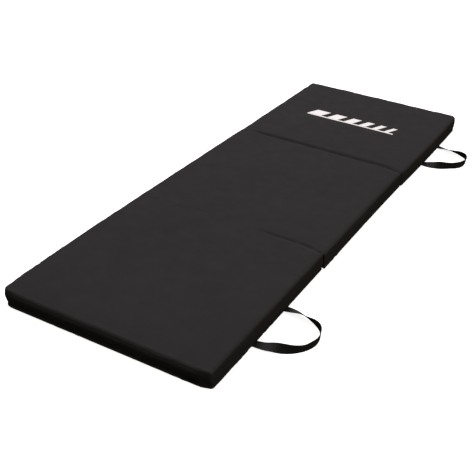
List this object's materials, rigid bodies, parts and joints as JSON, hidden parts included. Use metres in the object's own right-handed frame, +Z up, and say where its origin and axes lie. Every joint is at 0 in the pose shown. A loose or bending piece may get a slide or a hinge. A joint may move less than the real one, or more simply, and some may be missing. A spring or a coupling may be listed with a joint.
{
  "type": "folding gym mat",
  "caption": "Folding exercise mat: foam panels in zipped coated-fabric covers, joined end to end by fabric hinges so that they stack in a Z, with webbing carrying loops on one side.",
  "frame": {"origin": "on the floor, under the centre of the middle panel", "axes": "+X across the mat towards the side with the carrying loops, +Y along the mat from the near panel to the printed far panel, +Z up"},
  "size_m": [0.737, 1.8096, 0.0503],
  "materials": {
    "cover_fabric": "smooth coated fabric, near black, soft low sheen",
    "foam": "open-cell upholstery foam",
    "webbing": "woven polypropylene webbing, black",
    "zip_tape": "woven zip tape, black",
    "zip_coil": "nylon coil, black",
    "zip_metal": "black painted die-cast metal",
    "print_film": "white transfer print"
  },
  "bodies": {
    "near_panel": {"near_foam_core": "foam", "near_cover_top": "cover_fabric", "near_cover_bottom": "cover_fabric", "near_cover_boxing": "cover_fabric", "near_zip_strip_lower": "cover_fabric", "near_zip_strip_upper": "cover_fabric", "near_zip_tape_lower": "zip_tape", "near_zip_tape_upper": "zip_tape", "near_zip_coil_lower": "zip_coil", "near_zip_coil_upper": "zip_coil", "near_hinge_strip": "cover_fabric"},
    "middle_panel": {"middle_foam_core": "foam", "middle_cover_top": "cover_fabric", "middle_cover_bottom": "cover_fabric", "middle_cover_boxing": "cover_fabric", "middle_zip_strip_lower": "cover_fabric", "middle_zip_strip_upper": "cover_fabric", "middle_zip_tape_lower": "zip_tape", "middle_zip_tape_upper": "zip_tape", "middle_zip_coil_lower": "zip_coil", "middle_zip_coil_upper": "zip_coil", "far_hinge_strip": "cover_fabric"},
    "far_panel": {"far_foam_core": "foam", "far_cover_top": "cover_fabric", "far_cover_bottom": "cover_fabric", "far_cover_boxing": "cover_fabric", "far_zip_strip_lower": "cover_fabric", "far_zip_strip_upper": "cover_fabric", "far_zip_tape_lower": "zip_tape", "far_zip_tape_upper": "zip_tape", "far_zip_coil_lower": "zip_coil", "far_zip_coil_upper": "zip_coil", "far_panel_print": "print_film"},
    "near_handle": {"near_handle": "webbing"},
    "far_handle": {"far_handle": "webbing"},
    "near_zip_slider": {"near_zip_slider": "zip_metal"},
    "near_zip_pull": {"near_zip_pull": "zip_metal"},
    "middle_zip_slider": {"middle_zip_slider": "zip_metal"},
    "middle_zip_pull": {"middle_zip_pull": "zip_metal"},
    "far_zip_slider": {"far_zip_slider": "zip_metal"},
    "far_zip_pull": {"far_zip_pull": "zip_metal"}
  },
  "joints": [
    {"name": "near_fold", "type": "hinge", "parent": "near_panel", "child": "middle_panel", "pos_m": [0, -0.305, 0.051], "axis": [1, 0, 0], "range_deg": [0, 179.5], "deforming": ["near_hinge_strip"]},
    {"name": "far_fold", "type": "hinge", "parent": "middle_panel", "child": "far_panel", "pos_m": [0, 0.305, -0.001], "axis": [-1, 0, 0], "range_deg": [0, 179.5], "deforming": ["far_hinge_strip"]},
    {"name": "near_handle_swing", "type": "hinge", "parent": "near_panel", "child": "near_handle", "pos_m": [0.3003, -0.612, 0.0024], "axis": [0, -1, 0], "range_deg": [0, 45]},
    {"name": "far_handle_swing", "type": "hinge", "parent": "far_panel", "child": "far_handle", "pos_m": [0.3003, 0.608, 0.0024], "axis": [0, -1, 0], "range_deg": [0, 45]},
    {"name": "near_zip_slide", "type": "slide", "parent": "near_panel", "child": "near_zip_slider", "axis": [-1, 0, 0], "range_m": [0, 0.52]},
    {"name": "near_zip_pull_flip", "type": "hinge", "parent": "near_zip_slider", "child": "near_zip_pull", "pos_m": [0.262, -0.9085, 0.012], "axis": [0, 0, 1], "range_deg": [0, 180]},
    {"name": "middle_zip_slide", "type": "slide", "parent": "middle_panel", "child": "middle_zip_slider", "axis": [0, 1, 0], "range_m": [0, 0.53]},
    {"name": "middle_zip_pull_flip", "type": "hinge", "parent": "middle_zip_slider", "child": "middle_zip_pull", "pos_m": [-0.3035, -0.2665, 0.012], "axis": [0, 0, 1], "range_deg": [0, 180]},
    {"name": "far_zip_slide", "type": "slide", "parent": "far_panel", "child": "far_zip_slider", "axis": [1, 0, 0], "range_m": [0, 0.52]},
    {"name": "far_zip_pull_flip", "type": "hinge", "parent": "far_zip_slider", "child": "far_zip_pull", "pos_m": [-0.262, 0.8985, 0.012], "axis": [0, 0, 1], "range_deg": [0, 180]}
  ]
}
